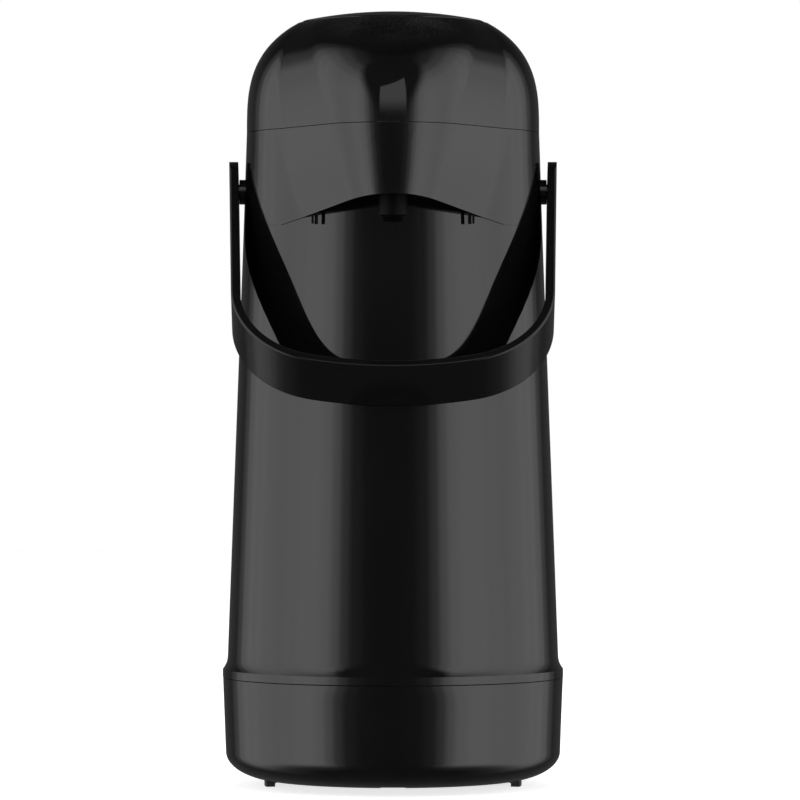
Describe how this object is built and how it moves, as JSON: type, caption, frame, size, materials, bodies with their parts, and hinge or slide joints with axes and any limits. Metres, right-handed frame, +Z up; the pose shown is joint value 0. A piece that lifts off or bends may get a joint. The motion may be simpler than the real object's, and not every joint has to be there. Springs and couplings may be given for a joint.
{
  "type": "pump airpot",
  "caption": "One-litre pump airpot: a tapered vacuum vessel with a beaked spout, a hinged lid with a round press plate over an air bellows, and a swinging carrying bail.",
  "frame": {"origin": "centre of the foot ring in the plane that it stands on", "axes": "+Z up along the vessel's axis, the beak points to -Y"},
  "size_m": [0.132, 0.1505, 0.2995],
  "materials": {
    "jacket_black": "polished",
    "base_black": "polished",
    "head_black": "polished",
    "bail_black": "satin",
    "plate_black": "polished",
    "spout_black": "fine matt",
    "inner_white": "fine matt",
    "siphon_grey": "fine matt",
    "silvered_glass": "silvered",
    "seal_rubber": "soft matt",
    "foot_rubber": "soft matt",
    "cushion_rubber": "soft matt",
    "pin_steel": "brushed"
  },
  "bodies": {
    "vessel": {"base_cup": "base_black", "foot_ring": "foot_rubber", "refill_cushion": "cushion_rubber", "body_jacket": "jacket_black", "outer_flask": "silvered_glass", "inner_flask": "silvered_glass", "flask_spacers": "cushion_rubber", "neck_seal": "seal_rubber", "collar_shell": "head_black", "spout_cover": "spout_black", "spout_nozzle": "spout_black", "spout_tube": "seal_rubber", "siphon_head": "siphon_grey", "siphon_seal": "seal_rubber", "port_seal": "seal_rubber", "dip_tube": "inner_white", "check_ball": "pin_steel", "hinge_pin": "pin_steel", "pivot_pin_right": "bail_black", "pivot_pin_left": "bail_black"},
    "lid": {"lid_shell": "head_black", "lid_liner": "inner_white", "lid_screws": "pin_steel", "lid_catch": "inner_white", "bellows_base": "inner_white", "bellows": "seal_rubber"},
    "plate": {"press_plate": "plate_black", "plate_pusher": "inner_white", "air_valve": "seal_rubber"},
    "bail": {"handle_bail": "bail_black"}
  },
  "joints": [
    {"name": "lid_hinge", "type": "hinge", "parent": "vessel", "child": "lid", "pos_m": [0, 0.0604, 0.2526], "axis": [-1, 0, 0], "range_deg": [0, 85]},
    {"name": "plate_press", "type": "slide", "parent": "lid", "child": "plate", "axis": [0, 0, -1], "range_m": [0, 0.02], "stiffness_N_per_m": 400, "springref_m": -0.012, "deforming": ["bellows"]},
    {"name": "bail_swing", "type": "hinge", "parent": "vessel", "child": "bail", "pos_m": [0, 0, 0.2299], "axis": [-1, 0, 0], "range_deg": [0, 273.4]}
  ]
}
